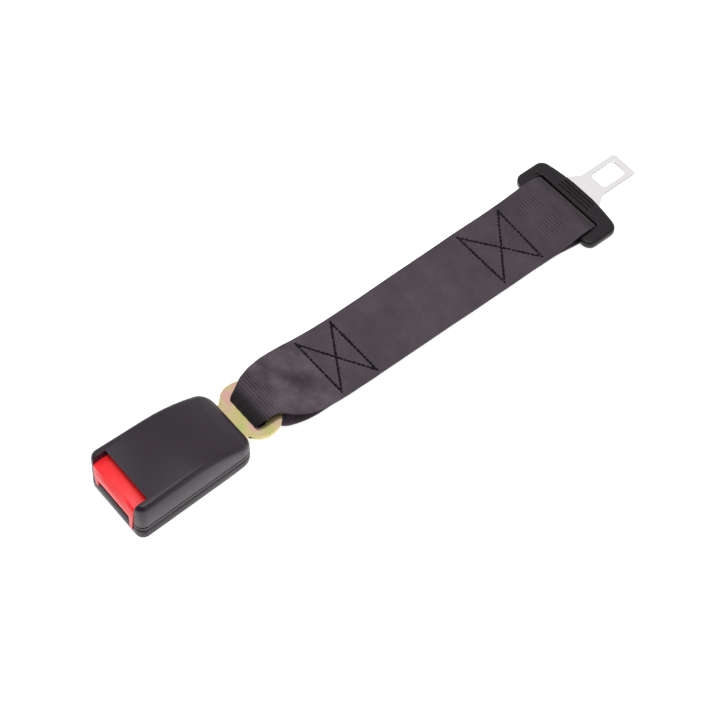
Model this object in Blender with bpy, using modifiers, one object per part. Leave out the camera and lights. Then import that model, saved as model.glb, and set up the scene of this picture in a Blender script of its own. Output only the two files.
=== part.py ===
"""Seat belt extender: a push-button buckle, a short folded strap and a tongue.

Sizes are in millimetres. X runs from the buckle's mouth to the tongue's tip, Z is up, and the extender
lies on Z = 0. Left is +Y.
"""
import math

import bmesh
import bpy
from mathutils import Matrix, Vector

for leftover in list(bpy.data.objects):
    bpy.data.objects.remove(leftover, do_unlink=True)

MM = 0.001
SIDES = {"left": 1, "right": -1}

# Clearances
SEAT = 0.1          # between pieces that are fixed to each other
RUN = 0.3           # between pieces that slide or turn

# Buckle housing
FRONT = -183.5
REAR = -106.8
FRONT_HALF = 23.65
REAR_HALF = 21.75
FRONT_CORNER = 5.0
REAR_CORNER = 8.0
HEIGHT = 27.8
SLANT = 1.8         # how far the front face leans back at the top
HUMP_END = -148.0   # the top is flat up to here, then falls in an arc
HUMP_RADIUS = 72.0
TOP_ROUND = 3.3
BASE_ROUND = 1.8
HEEL_START = -126.0
HEEL_LIFT = 1.8
SEAM = 10.3         # where the two covers meet
SEAM_GAP = 0.3
SEAM_CHAMFER = 0.3
GROOVE = 7.3        # a shallow line round the lower cover
GROOVE_WIDTH = 0.6
GROOVE_DEPTH = 0.5
WALL = 2.0
FLOOR = 2.2

# Button
NOTCH_END = -173.3
BUTTON_FRONT = -182.0
BUTTON_REAR = -169.0
BUTTON_DROP = 1.6   # how far the button's top lies under the housing's
BUTTON_TOP = HEIGHT - BUTTON_DROP
BUTTON_POST = 5.45  # the housing beside the button
BUTTON_HALF = FRONT_HALF - BUTTON_POST
BUTTON_TAPER = 0.1  # how much each side comes in for every millimetre down
BUTTON_TRAVEL = 5.0
BUTTON_WALL = 1.8
BUTTON_ROUND = 2.0
ARCH = 13.4         # underside of the button's front over the tongue's mouth
LEG_WIDTH = 2.8
LEG_ENDS = {"left": 8.2, "right": 3.2}
MOUTH_SILL = 9.05
ARM_INNER = 12.8
ARM_OUTER = 15.0

# Latch frame
FRAME_FRONT = -174.0
FRAME_REAR = -110.0
FRAME_BASE = 7.2
FRAME_SHEET = 2.0
FRAME_HALF = 12.5
FRAME_TOP = 21.0
FRAME_SHOULDER = -127.0
FRAME_TAIL_TOP = 12.6
CHANNEL = FRAME_BASE + FRAME_SHEET   # the tongue slides on this level

# Latch
PIVOT_X = -128.0
PIVOT_Z = 15.6
PIN_RADIUS = 1.5
BARREL_WALL = 1.4
LATCH_SHEET = 1.8
LATCH_HALF = 10.1
TOOTH_FRONT = -160.0
TOOTH_LENGTH = 3.0
TOOTH_HALF = 4.0
TOOTH_TIP = 8.0
EAR_FRONT = -152.0
EAR_LENGTH = 3.0
EAR_REACH = 14.6
LATCH_LIFT = 9.5    # degrees

# Ejector
EJECTOR_FRONT = -164.0
EJECTOR_REAR = -140.0
EJECTOR_HALF = 9.5
EJECTOR_HEIGHT = 2.4
EJECTOR_BAR = 7.0
PRONG_INNER = 4.8
EJECTOR_TRAVEL = 12.0

# Springs
WIRE = 0.5
EJECTOR_COIL = 2.2
BUTTON_COIL = 2.0
BUTTON_COIL_Y = BUTTON_HALF - 3.4
BUTTON_COIL_Z = BUTTON_TOP - 6.3
BUTTON_COIL_SEAT = -157.0
LATCH_COIL = 2.6
LATCH_COIL_X = -146.0

# Anchor plate
PLATE = 2.3
PLATE_FRONT = -120.0
PLATE_REAR = -83.0
PLATE_TAIL_HALF = 10.2
NECK_HALF = 12.75
LOBE_HALF = 19.0
LOBE_START = -98.5
LOBE_ROUND = 8.0
SLOT_FRONT = -98.0
SLOT_REAR = -91.0
SLOT_HALF = 15.5
RIVET_X = -114.5
RIVET_Y = 6.0
RIVET_RADIUS = 1.6
RIVET_HEAD = 2.6
RIVET_HEAD_HEIGHT = 1.1

# Cover screws
SCREW_X = -118.0
SCREW_Y = REAR_HALF - 5.35
SCREW_RADIUS = 1.25
SCREW_HEAD = 2.6
SCREW_HEAD_HEIGHT = 1.8
SCREW_SINK = 1.6    # the head's depth under the base
SCREW_LENGTH = 12.0
BOSS_RADIUS = 3.1

# Tongue
TIP = 183.4
BLADE_HALF = 9.6
BLADE_SHEET = 2.5
BLADE_BASE = 3.7
BLADE_ROUND = 2.5
SHOULDER = 156.8
SHOULDER_HALF = 14.5
ROOT_FRONT = 146.0
ROOT_REAR = 139.4
ROOT_HALF = 20.0
WINDOW_TIP_BAR = 4.8
WINDOW_LENGTH = 17.4
WINDOW_HALF = 5.7
WINDOW_ROUND = 2.3

# Tongue sheath
SHEATH_REAR = 123.3
SHEATH_FRONT = 149.3
SHEATH_BOW = 140.0  # radius of the curved front edge
SHEATH_HALF = 32.6
SHEATH_CORNER = 6.0
SHEATH_BASE = 0.3
SHEATH_THICK = 8.0
SHEATH_ROUND = 2.2
STRAP_SLOT_FRONT = 137.0
STRAP_SLOT_HALF = 24.75
BAR_LENGTH = 7.7
BAR_THICK = 5.0
BAR_Z = 4.9
GRIPS = 4
GRIP_FIRST = 140.2
GRIP_PITCH = 2.4
GRIP_WIDTH = 1.3
GRIP_DEPTH = 0.9
GRIP_HALF = 12.6

# Webbing
STRAP_THICK = 1.3
GATHER_PITCH = 5.2


def paint(name, colour, roughness, metallic):
    """A plain Principled material."""
    material = bpy.data.materials.new(name)
    material.use_nodes = True
    shader = material.node_tree.nodes["Principled BSDF"]
    shader.inputs["Base Color"].default_value = (*colour, 1.0)
    shader.inputs["Roughness"].default_value = roughness
    shader.inputs["Metallic"].default_value = metallic
    material.diffuse_color = (*colour, 1.0)
    return material


BLACK_SHELL = paint("black_shell", (0.055, 0.050, 0.058), 0.42, 0.0)
BLACK_GRIP = paint("black_grip", (0.050, 0.048, 0.052), 0.45, 0.0)
RED_BUTTON = paint("red_button", (0.86, 0.035, 0.045), 0.38, 0.0)
ZINC_YELLOW = paint("zinc_yellow", (0.66, 0.55, 0.26), 0.32, 0.9)
BRIGHT_STEEL = paint("bright_steel", (0.76, 0.74, 0.74), 0.28, 0.9)
PLAIN_STEEL = paint("plain_steel", (0.42, 0.43, 0.44), 0.38, 0.9)
SPRING_WIRE = paint("spring_wire", (0.50, 0.50, 0.52), 0.30, 0.9)
WHITE_SLIDER = paint("white_slider", (0.70, 0.70, 0.66), 0.45, 0.0)
BLACK_WEBBING = paint("black_webbing", (0.075, 0.062, 0.075), 0.88, 0.0)


def make(name, bm, material=None, origin=(0, 0, 0)):
    """Turn a bmesh drawn in millimetres into an object that has its origin at the given point."""
    bmesh.ops.recalc_face_normals(bm, faces=bm.faces)
    bmesh.ops.translate(bm, verts=bm.verts, vec=-Vector(origin))
    bmesh.ops.scale(bm, verts=bm.verts, vec=(MM, MM, MM))
    mesh = bpy.data.meshes.new(name)
    bm.to_mesh(mesh)
    bm.free()
    thing = bpy.data.objects.new(name, mesh)
    thing.location = Vector(origin) * MM
    bpy.context.collection.objects.link(thing)
    if material:
        mesh.materials.append(material)
    return thing


def rounded(corners, steps=5):
    """The outline through some corners (x, y, radius), with an arc at each corner."""
    points = []
    for place, (x, y, radius) in enumerate(corners):
        corner = Vector((x, y))
        if radius == 0:
            points.append(corner)
            continue
        before = (Vector(corners[place - 1][:2]) - corner).normalized()
        after = (Vector(corners[(place + 1) % len(corners)][:2]) - corner).normalized()
        half_angle = before.angle(after) / 2
        middle = corner + (before + after).normalized() * radius / math.sin(half_angle)
        start = corner + before * radius / math.tan(half_angle) - middle
        end = corner + after * radius / math.tan(half_angle) - middle
        points += [middle + start.slerp(end, step / steps).normalized() * radius for step in range(steps + 1)]
    return points


def mirrored(half):
    """Close half an outline, drawn at y > 0, with its mirror image."""
    return half + [(x, -y, *rest) for x, y, *rest in reversed(half)]


TURN = {
    "X": Matrix(((0, 0, 1), (1, 0, 0), (0, 1, 0))),
    "Y": Matrix(((1, 0, 0), (0, 0, 1), (0, 1, 0))),
    "Z": Matrix.Identity(3),
}


def prism(name, outline, low, high, axis="Z", material=None, origin=(0, 0, 0)):
    """An outline pushed from low to high along X, Y or Z."""
    bm = bmesh.new()
    face = bm.faces.new([bm.verts.new(TURN[axis] @ Vector((p[0], p[1], low))) for p in outline])
    pushed = bmesh.ops.extrude_face_region(bm, geom=[face])["geom"]
    moved = [part for part in pushed if isinstance(part, bmesh.types.BMVert)]
    bmesh.ops.translate(bm, verts=moved, vec=TURN[axis] @ Vector((0, 0, high - low)))
    return make(name, bm, material, origin)


def block(name, low, high, material=None, origin=(0, 0, 0)):
    """A box between two opposite corners."""
    bm = bmesh.new()
    bmesh.ops.create_cube(bm, size=1.0)
    size = Vector(high) - Vector(low)
    bmesh.ops.scale(bm, verts=bm.verts, vec=size)
    bmesh.ops.translate(bm, verts=bm.verts, vec=Vector(low) + size / 2)
    return make(name, bm, material, origin)


def rod(name, low, high, centre, radius, axis="Z", material=None, origin=(0, 0, 0), segments=24):
    """A cylinder from low to high along an axis, centred on the other two coordinates."""
    bm = bmesh.new()
    bmesh.ops.create_cone(bm, cap_ends=True, segments=segments, radius1=radius, radius2=radius,
                          depth=high - low)
    shift = Vector((centre[0], centre[1], (low + high) / 2))
    bmesh.ops.translate(bm, verts=bm.verts, vec=shift)
    bmesh.ops.transform(bm, matrix=TURN[axis].to_4x4(), verts=bm.verts)
    return make(name, bm, material, origin)


def turned(name, profile, centre, material, segments=24):
    """A profile (radius, z) turned about the vertical line through the centre."""
    bm = bmesh.new()
    points = [bm.verts.new((radius, 0, z)) for radius, z in profile]
    for first, second in zip(points, points[1:]):
        bm.edges.new((first, second))
    bmesh.ops.scale(bm, verts=bm.verts, vec=(MM, MM, MM))
    mesh = bpy.data.meshes.new(name)
    bm.to_mesh(mesh)
    bm.free()
    mesh.materials.append(material)
    thing = bpy.data.objects.new(name, mesh)
    thing.location = (centre[0] * MM, centre[1] * MM, 0)
    bpy.context.collection.objects.link(thing)
    spin = thing.modifiers.new("turn", "SCREW")
    spin.steps = segments
    spin.render_steps = segments
    spin.use_merge_vertices = True
    spin.merge_threshold = 0.00001
    spin.use_normal_calculate = True
    return thing


def coil(name, start, end, radius, turns, material=SPRING_WIRE):
    """A compression spring between two points that differ along one axis."""
    start = Vector(start)
    length = (Vector(end) - start).length
    along = (Vector(end) - start).normalized()
    side = along.orthogonal().normalized()
    other = along.cross(side)
    steps = int(turns * 8)
    curve = bpy.data.curves.new(name, "CURVE")
    curve.dimensions = "3D"
    curve.bevel_depth = WIRE / 2 * MM
    curve.bevel_resolution = 1
    curve.use_fill_caps = True
    line = curve.splines.new("POLY")
    line.points.add(steps)
    # The end turns are close wound, so that they sit flat.
    close = WIRE * 1.15
    open_length = length - WIRE - 2 * close
    for step in range(steps + 1):
        turn = step / steps * turns
        rise = close * min(turn, 1) + close * max(turn - turns + 1, 0)
        rise += open_length * min(max(turn - 1, 0) / (turns - 2), 1)
        angle = turn * 2 * math.pi
        round_about = side * math.cos(angle) + other * math.sin(angle)
        spot = along * (WIRE / 2 + rise) + round_about * (radius - WIRE / 2)
        line.points[step].co = (*(spot * MM), 1)
    curve.materials.append(material)
    thing = bpy.data.objects.new(name, curve)
    thing.location = start * MM
    bpy.context.collection.objects.link(thing)
    thing.modifiers.new("weld", "WELD").merge_threshold = 0.00001
    return thing


def combine(target, operation, tools):
    """Cut or join some solids and keep them as hidden construction pieces."""
    for tool in tools:
        step = target.modifiers.new(operation.lower(), "BOOLEAN")
        step.operation = operation
        step.solver = "EXACT"
        step.object = tool
        tool.hide_render = True
        tool.display_type = "WIRE"


def cut(target, *tools):
    combine(target, "DIFFERENCE", tools)


def join(target, *tools):
    combine(target, "UNION", tools)


def loft(name, rings, material=None):
    """A solid through stacked rings of mirrored points, closed with strips from side to side."""
    bm = bmesh.new()
    loops = [[bm.verts.new(point) for point in ring] for ring in rings]
    count = len(loops[0])
    for lower, upper in zip(loops, loops[1:]):
        for here in range(count):
            after = (here + 1) % count
            bm.faces.new((lower[here], lower[after], upper[after], upper[here]))
    for loop in (loops[0], loops[-1]):
        for here in range(count // 2 - 1):
            bm.faces.new((loop[here], loop[here + 1], loop[-here - 2], loop[-here - 1]))
    return make(name, bm, material)


# Buckle housing

def roof(x):
    """Height of the housing's top at x."""
    return HEIGHT - max(x - HUMP_END, 0) ** 2 / (2 * HUMP_RADIUS)


def keel(x):
    """Height of the housing's underside at x."""
    return HEEL_LIFT * (max(x - HEEL_START, 0) / (REAR - HEEL_START)) ** 2


def housing_ring(inset, level):
    """The housing's outline, drawn in by an inset, at a level that may follow x."""
    side = (REAR_HALF - FRONT_HALF) / (REAR - FRONT)
    front, rear = FRONT + inset, REAR - inset
    outline = rounded([
        (front, 0, 0),
        (front, FRONT_HALF - inset, max(FRONT_CORNER - inset, 0.5)),
        (rear, REAR_HALF - inset, max(REAR_CORNER - inset, 0.5)),
        (rear, 0, 0),
    ])
    arc = len(outline) // 2
    hump = [HUMP_END + (REAR - REAR_CORNER - HUMP_END) * share for share in (0, 0.2, 0.4, 0.6, 0.8)]
    stations = [Vector((x, FRONT_HALF - inset + side * (x - FRONT))) for x in hump]
    half = outline[1:arc] + stations + outline[arc:-1]
    ring = []
    for x, y in mirrored([tuple(point) for point in half]):
        z = level(x) if callable(level) else level
        lean = SLANT * z / HEIGHT * (REAR - x) / (REAR - FRONT)
        ring.append((x + lean, y, z))
    return ring


def button_section(clearance, low, high):
    """The button's tapered cross-section between two levels, grown by a clearance."""
    def half(z):
        return BUTTON_HALF + clearance - BUTTON_TAPER * (BUTTON_TOP - z)
    return [(half(low), low), (half(high), high), (-half(high), high), (-half(low), low)]


def lower_cover():
    rings = []
    for step in range(4):
        angle = math.radians(step * 30)
        rings.append(housing_ring(BASE_ROUND * (1 - math.sin(angle)),
                                  lambda x, a=angle: keel(x) + BASE_ROUND * (1 - math.cos(a))))
    for inset, level in ((0, GROOVE - GROOVE_WIDTH), (GROOVE_DEPTH, GROOVE - GROOVE_WIDTH / 2),
                         (GROOVE_DEPTH, GROOVE + GROOVE_WIDTH / 2), (0, GROOVE + GROOVE_WIDTH),
                         (0, SEAM - SEAM_GAP / 2 - SEAM_CHAMFER), (SEAM_CHAMFER, SEAM - SEAM_GAP / 2)):
        rings.append(housing_ring(inset, level))
    cover = loft("lower_cover", rings, BLACK_SHELL)
    cavity = loft("lower_cavity", [
        housing_ring(WALL + 1.0, lambda x: keel(x) + FLOOR),
        housing_ring(WALL, lambda x: keel(x) + FLOOR + 1.0),
        housing_ring(WALL, SEAM + 2.0),
    ])
    cut(cover, cavity)

    # Ribs under the frame and bosses for the screws
    for number, x in enumerate((-170.0, -148.0, -125.0)):
        join(cover, block(f"frame_rib_{number}", (x - 0.7, -11.0, FLOOR - 0.7), (x + 0.7, 11.0, FRAME_BASE - SEAT)))
    for side, sign in SIDES.items():
        spot = (SCREW_X, sign * SCREW_Y)
        join(cover, rod(f"lower_boss_{side}", FLOOR - 0.7, SEAM - SEAM_GAP / 2, spot, BOSS_RADIUS))
        cut(cover, rod(f"lower_bore_{side}", -1, SEAM + 1, spot, SCREW_RADIUS + 0.3),
            rod(f"head_bore_{side}", -1, SCREW_SINK + SCREW_HEAD_HEIGHT + SEAT, spot, SCREW_HEAD + 0.3))

    # Mouth, leg recesses and the anchor plate's way out
    leg_outer = BUTTON_HALF - BUTTON_TAPER * (BUTTON_TOP - SEAM)
    cut(cover, block("sill_cut", (FRONT - 3, -leg_outer + LEG_WIDTH, MOUTH_SILL),
                     (FRONT + WALL + 2, leg_outer - LEG_WIDTH, SEAM + 1)))
    for side, sign in SIDES.items():
        outline = [(sign * (leg_outer - LEG_WIDTH - RUN), LEG_ENDS[side] - RUN),
                   (sign * (leg_outer - LEG_WIDTH - RUN), SEAM + 1),
                   (sign * (leg_outer + RUN + 0.1), SEAM + 1),
                   (sign * (leg_outer + RUN - BUTTON_TAPER * (SEAM - LEG_ENDS[side])), LEG_ENDS[side] - RUN)]
        cut(cover, prism(f"leg_recess_{side}", outline, FRONT - 3, FRONT + WALL + 3, "X"))
    cut(cover, neck_opening("lower_neck_cut"))
    return cover


def neck_opening(name):
    """The hole through the housing's rear wall for the anchor plate."""
    return block(name, (REAR - WALL - 3, -NECK_HALF - RUN, CHANNEL + SEAT - RUN),
                 (REAR + 3, NECK_HALF + RUN, CHANNEL + SEAT + PLATE + RUN))


def upper_cover():
    rings = [housing_ring(SEAM_CHAMFER, SEAM + SEAM_GAP / 2),
             housing_ring(0, SEAM + SEAM_GAP / 2 + SEAM_CHAMFER)]
    for step in range(6):
        angle = math.radians(step * 18)
        rings.append(housing_ring(TOP_ROUND * (1 - math.cos(angle)),
                                  lambda x, a=angle: roof(x) - TOP_ROUND * (1 - math.sin(a))))
    cover = loft("upper_cover", rings, BLACK_SHELL)
    cavity = loft("upper_cavity", [
        housing_ring(WALL, SEAM - 2.0),
        housing_ring(WALL, lambda x: roof(x) - WALL - 2.5),
        housing_ring(WALL + 1.5, lambda x: roof(x) - WALL),
    ])
    # The front corners stay solid and guide the button between them.
    cheeks = block("cavity_limit", (FRONT - 5, -FRONT_HALF - 5, 0), (BUTTON_REAR, FRONT_HALF + 5, HEIGHT + 5))
    cut(cavity, cheeks)
    cut(cover, cavity)
    tunnel_top = BUTTON_TOP + RUN
    cut(cover,
        prism("button_tunnel", button_section(RUN, SEAM - 3, tunnel_top), FRONT - 5,
              BUTTON_REAR + BUTTON_TRAVEL + 1, "X"),
        prism("button_notch", button_section(RUN, tunnel_top - 3, HEIGHT + 3), FRONT - 5, NOTCH_END, "X"),
        neck_opening("upper_neck_cut"))

    # Seats for the button's springs, stops over the frame and bosses for the screws
    for side, sign in SIDES.items():
        inner, outer = sorted((sign * (BUTTON_COIL_Y - 2.2), sign * (BUTTON_COIL_Y + 2.6)))
        join(cover, block(f"spring_seat_{side}", (BUTTON_COIL_SEAT, inner, BUTTON_COIL_Z - 2.4),
                          (BUTTON_COIL_SEAT + 2, outer, HEIGHT - 1)))
        inner, outer = sorted((sign * (FRAME_HALF - FRAME_SHEET), sign * FRAME_HALF))
        join(cover, block(f"frame_stop_{side}", (-141.0, inner, FRAME_TOP + SEAT), (-138.0, outer, HEIGHT - 2)))
        spot = (SCREW_X, sign * SCREW_Y)
        join(cover, rod(f"upper_boss_{side}", SEAM + SEAM_GAP / 2, roof(SCREW_X) - 1, spot, BOSS_RADIUS))
        cut(cover, rod(f"upper_bore_{side}", SEAM - 1, SCREW_SINK + SCREW_HEAD_HEIGHT + SCREW_LENGTH + 1, spot,
                       SCREW_RADIUS + SEAT))
    return cover


def press_button():
    """A tapered cap with a rounded front edge, two legs and two ramped arms."""
    floor = min(LEG_ENDS.values())
    front_floor = BUTTON_FRONT
    cap = prism("press_button", button_section(0, floor, BUTTON_TOP), BUTTON_FRONT, BUTTON_REAR, "X", RED_BUTTON)
    lean = SLANT / HEIGHT
    # The front face leans back with the housing and rolls over into the top.
    face = rounded([
        (front_floor + lean * (floor - 2) - 1, floor - 2, 0),
        (front_floor - 1 + lean * (BUTTON_TOP - 2), BUTTON_TOP, BUTTON_ROUND),
        (BUTTON_REAR + 5, BUTTON_TOP, 0),
        (BUTTON_REAR + 5, floor - 2, 0),
    ])
    shape = prism("button_profile", face, -FRONT_HALF, FRONT_HALF, "Y")
    step = cap.modifiers.new("profile", "BOOLEAN")
    step.operation = "INTERSECT"
    step.solver = "EXACT"
    step.object = shape
    shape.hide_render = True
    shape.display_type = "WIRE"

    inside = button_section(-BUTTON_WALL, floor - 3, BUTTON_TOP - BUTTON_WALL)
    cut(cap, prism("button_hollow", inside, BUTTON_FRONT + BUTTON_WALL + 1.0, BUTTON_REAR + 5, "X"))
    leg_outer = BUTTON_HALF - BUTTON_TAPER * (BUTTON_TOP - SEAM)
    inner = leg_outer - LEG_WIDTH
    arch = rounded([(-inner, floor - 5, 0), (-inner, ARCH, 1.5), (inner, ARCH, 1.5), (inner, floor - 5, 0)])
    cut(cap, prism("button_arch", arch, BUTTON_FRONT - 5, BUTTON_FRONT + 5, "X"))
    for side, sign in SIDES.items():
        # Behind the front the legs end above the housing's seam.
        low, high = sorted((sign * (inner - 2), sign * (FRONT_HALF)))
        if LEG_ENDS[side] > floor:
            cut(cap, block(f"leg_trim_{side}", (BUTTON_FRONT - 5, low, floor - 5),
                           (BUTTON_REAR + 5, high, LEG_ENDS[side])))
        cut(cap, block(f"skirt_trim_{side}", (BUTTON_FRONT + BUTTON_WALL + 1.0, low, floor - 5),
                       (BUTTON_REAR + 5, high, SEAM + 1.0)))

        # An arm beside the frame, with the ramp that lifts the latch's ear
        rise = (PIVOT_X - EAR_FRONT) * math.sin(math.radians(LATCH_LIFT))
        foot = EAR_FRONT - 0.3
        ear_base = PIVOT_Z - PIN_RADIUS - BARREL_WALL
        arm = [(BUTTON_REAR - 2, CHANNEL + 1.0), (foot + 1.5, CHANNEL + 1.0), (foot + 1.5, ear_base - 1.6),
               (foot, ear_base - RUN), (foot - BUTTON_TRAVEL, ear_base - RUN + rise),
               (foot - BUTTON_TRAVEL - 2, ear_base - RUN + rise), (BUTTON_REAR - 2, ear_base - RUN + rise)]
        low, high = sorted((sign * ARM_INNER, sign * ARM_OUTER))
        join(cap, prism(f"button_arm_{side}", arm, low, high, "Y"))
        # The lug joins the arm to the cap's side and takes the spring.
        low, high = sorted((sign * ARM_INNER, sign * (BUTTON_COIL_Y + 2.0)))
        join(cap, block(f"button_lug_{side}", (BUTTON_REAR - 2.5, low, 12.0), (BUTTON_REAR, high, BUTTON_TOP - 1)))
    return cap


def latch_frame():
    """A steel channel: the base is the tongue's track, the walls carry the pin."""
    outline = [(-FRAME_HALF, FRAME_BASE), (FRAME_HALF, FRAME_BASE), (FRAME_HALF, FRAME_TOP),
               (FRAME_HALF - FRAME_SHEET, FRAME_TOP), (FRAME_HALF - FRAME_SHEET, CHANNEL),
               (FRAME_SHEET - FRAME_HALF, CHANNEL), (FRAME_SHEET - FRAME_HALF, FRAME_TOP), (-FRAME_HALF, FRAME_TOP)]
    frame = prism("latch_frame", outline, FRAME_FRONT, FRAME_REAR, "X", PLAIN_STEEL)
    slope = [(FRAME_SHOULDER, FRAME_TOP + 1), (FRAME_REAR + 4, FRAME_TOP + 1), (FRAME_REAR + 4, FRAME_TAIL_TOP),
             (FRAME_REAR - 3, FRAME_TAIL_TOP)]
    nose = [(FRAME_FRONT - 1, FRAME_TOP + 1), (FRAME_FRONT - 1, 15.0), (FRAME_FRONT + 6, FRAME_TOP + 1)]
    ear_base = PIVOT_Z - PIN_RADIUS - BARREL_WALL
    cut(frame,
        prism("wall_slope", slope, -20, 20, "Y"),
        prism("wall_nose", nose, -20, 20, "Y"),
        block("ear_notch", (EAR_FRONT - 1.2, -20, ear_base - 0.6), (EAR_FRONT + EAR_LENGTH + 1.2, 20, FRAME_TOP + 2)),
        rod("pin_hole", -20, 20, (PIVOT_X, PIVOT_Z), PIN_RADIUS + SEAT, "Y"),
        prism("tooth_window", rounded(mirrored([(TOOTH_FRONT - 4, TOOTH_HALF + 1.2, 1.0),
                                                (TOOTH_FRONT + TOOTH_LENGTH + 4, TOOTH_HALF + 1.2, 1.0)])),
              FRAME_BASE - 1, CHANNEL + 1),
        prism("spring_slot", rounded(mirrored([(EJECTOR_REAR - 2, EJECTOR_COIL + 0.4, 1.0),
                                               (PLATE_FRONT + 0.6, EJECTOR_COIL + 0.4, 1.0)])),
              FRAME_BASE - 1, CHANNEL + 1))
    for side, sign in SIDES.items():
        cut(frame, rod(f"frame_rivet_hole_{side}", FRAME_BASE - 1, CHANNEL + 1, (RIVET_X, sign * RIVET_Y),
                       RIVET_RADIUS + SEAT))
    return frame


def latch_plate():
    """The latch: a barrel round the pin, a flat arm with two ears, and the tooth."""
    pivot = (PIVOT_X, 0, PIVOT_Z)
    low = PIVOT_Z - PIN_RADIUS - BARREL_WALL
    outline = rounded(mirrored([
        (TOOTH_FRONT, TOOTH_HALF, 0.8), (TOOTH_FRONT + 5, LATCH_HALF, 1.0), (EAR_FRONT, LATCH_HALF, 0),
        (EAR_FRONT, EAR_REACH, 0.4), (EAR_FRONT + EAR_LENGTH, EAR_REACH, 0.4),
        (EAR_FRONT + EAR_LENGTH, LATCH_HALF, 0), (PIVOT_X, LATCH_HALF, 0)]), 3)
    latch = prism("latch_plate", outline, low, low + LATCH_SHEET, "Z", PLAIN_STEEL, pivot)
    tooth = [(TOOTH_FRONT, low + 0.5), (TOOTH_FRONT, TOOTH_TIP + 1.6), (TOOTH_FRONT + 1.4, TOOTH_TIP),
             (TOOTH_FRONT + TOOTH_LENGTH, TOOTH_TIP), (TOOTH_FRONT + TOOTH_LENGTH, low + 0.5)]
    join(latch,
         rod("latch_barrel", -LATCH_HALF, LATCH_HALF, (PIVOT_X, PIVOT_Z), PIN_RADIUS + BARREL_WALL, "Y"),
         prism("latch_tooth", tooth, -TOOTH_HALF, TOOTH_HALF, "Y"))
    cut(latch, rod("barrel_bore", -20, 20, (PIVOT_X, PIVOT_Z), PIN_RADIUS + SEAT, "Y"))
    return latch


def ejector():
    """A fork that straddles the tooth and pushes the tongue out with its two prongs."""
    outline = mirrored([
        (EJECTOR_FRONT, PRONG_INNER), (EJECTOR_FRONT, EJECTOR_HALF), (EJECTOR_REAR, EJECTOR_HALF)])
    notch = rounded(mirrored([(EJECTOR_FRONT - 2, PRONG_INNER, 0), (EJECTOR_REAR - EJECTOR_BAR, PRONG_INNER, 1.5)]))
    fork = prism("ejector", outline, CHANNEL + SEAT, CHANNEL + SEAT + EJECTOR_HEIGHT, "Z", WHITE_SLIDER,
                 (EJECTOR_REAR, 0, CHANNEL))
    cut(fork, prism("fork_notch", notch, CHANNEL - 1, CHANNEL + EJECTOR_HEIGHT + 2))
    return fork


def rivets():
    low, high = FRAME_BASE - RIVET_HEAD_HEIGHT, CHANNEL + SEAT + PLATE + RIVET_HEAD_HEIGHT
    for side, sign in SIDES.items():
        turned(f"anchor_rivet_{side}", [
            (0, low), (RIVET_HEAD * 0.6, low), (RIVET_HEAD, low + 0.6), (RIVET_HEAD, FRAME_BASE - SEAT),
            (RIVET_RADIUS, FRAME_BASE - SEAT), (RIVET_RADIUS, high - RIVET_HEAD_HEIGHT + SEAT),
            (RIVET_HEAD, high - RIVET_HEAD_HEIGHT + SEAT), (RIVET_HEAD, high - 0.6), (RIVET_HEAD * 0.6, high),
            (0, high)], (RIVET_X, sign * RIVET_Y), ZINC_YELLOW)


def screws():
    base = SCREW_SINK
    shank = base + SCREW_HEAD_HEIGHT
    for side, sign in SIDES.items():
        spot = (SCREW_X, sign * SCREW_Y)
        screw = turned(f"cover_screw_{side}", [
            (0, base), (SCREW_HEAD * 0.7, base), (SCREW_HEAD, base + 0.7), (SCREW_HEAD, shank),
            (SCREW_RADIUS, shank), (SCREW_RADIUS, shank + SCREW_LENGTH - 1), (0.4, shank + SCREW_LENGTH),
            (0, shank + SCREW_LENGTH)], spot, PLAIN_STEEL)
        for word, half_x, half_y in (("long", 1.5, 0.35), ("cross", 0.35, 1.5)):
            cut(screw, block(f"screw_{word}_slot_{side}", (spot[0] - half_x, spot[1] - half_y, base - 1),
                             (spot[0] + half_x, spot[1] + half_y, base + 1.1)))


def anchor_plate():
    """The slotted plate that the strap passes through, with lobes beside the slot."""
    outline = rounded(mirrored([
        (PLATE_FRONT, PLATE_TAIL_HALF, 1.5), (FRAME_REAR + RUN, PLATE_TAIL_HALF, 0),
        (FRAME_REAR + RUN, NECK_HALF, 0), (REAR + 1.4, NECK_HALF, 3.0), (LOBE_START, LOBE_HALF, 6.0),
        (PLATE_REAR, LOBE_HALF, LOBE_ROUND)]), 6)
    low = CHANNEL + SEAT
    plate = prism("anchor_plate", outline, low, low + PLATE, "Z", ZINC_YELLOW)
    slot = rounded(mirrored([(SLOT_FRONT, SLOT_HALF, 3.2), (SLOT_REAR, SLOT_HALF, 3.2)]))
    cut(plate, prism("anchor_slot", slot, low - 1, low + PLATE + 1))
    for side, sign in SIDES.items():
        cut(plate, rod(f"plate_rivet_hole_{side}", low - 1, low + PLATE + 1, (RIVET_X, sign * RIVET_Y),
                       RIVET_RADIUS + SEAT))
    rim = plate.modifiers.new("soft_edge", "BEVEL")
    rim.width = 0.35 * MM
    rim.segments = 1
    rim.angle_limit = math.radians(50)
    return plate


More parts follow.
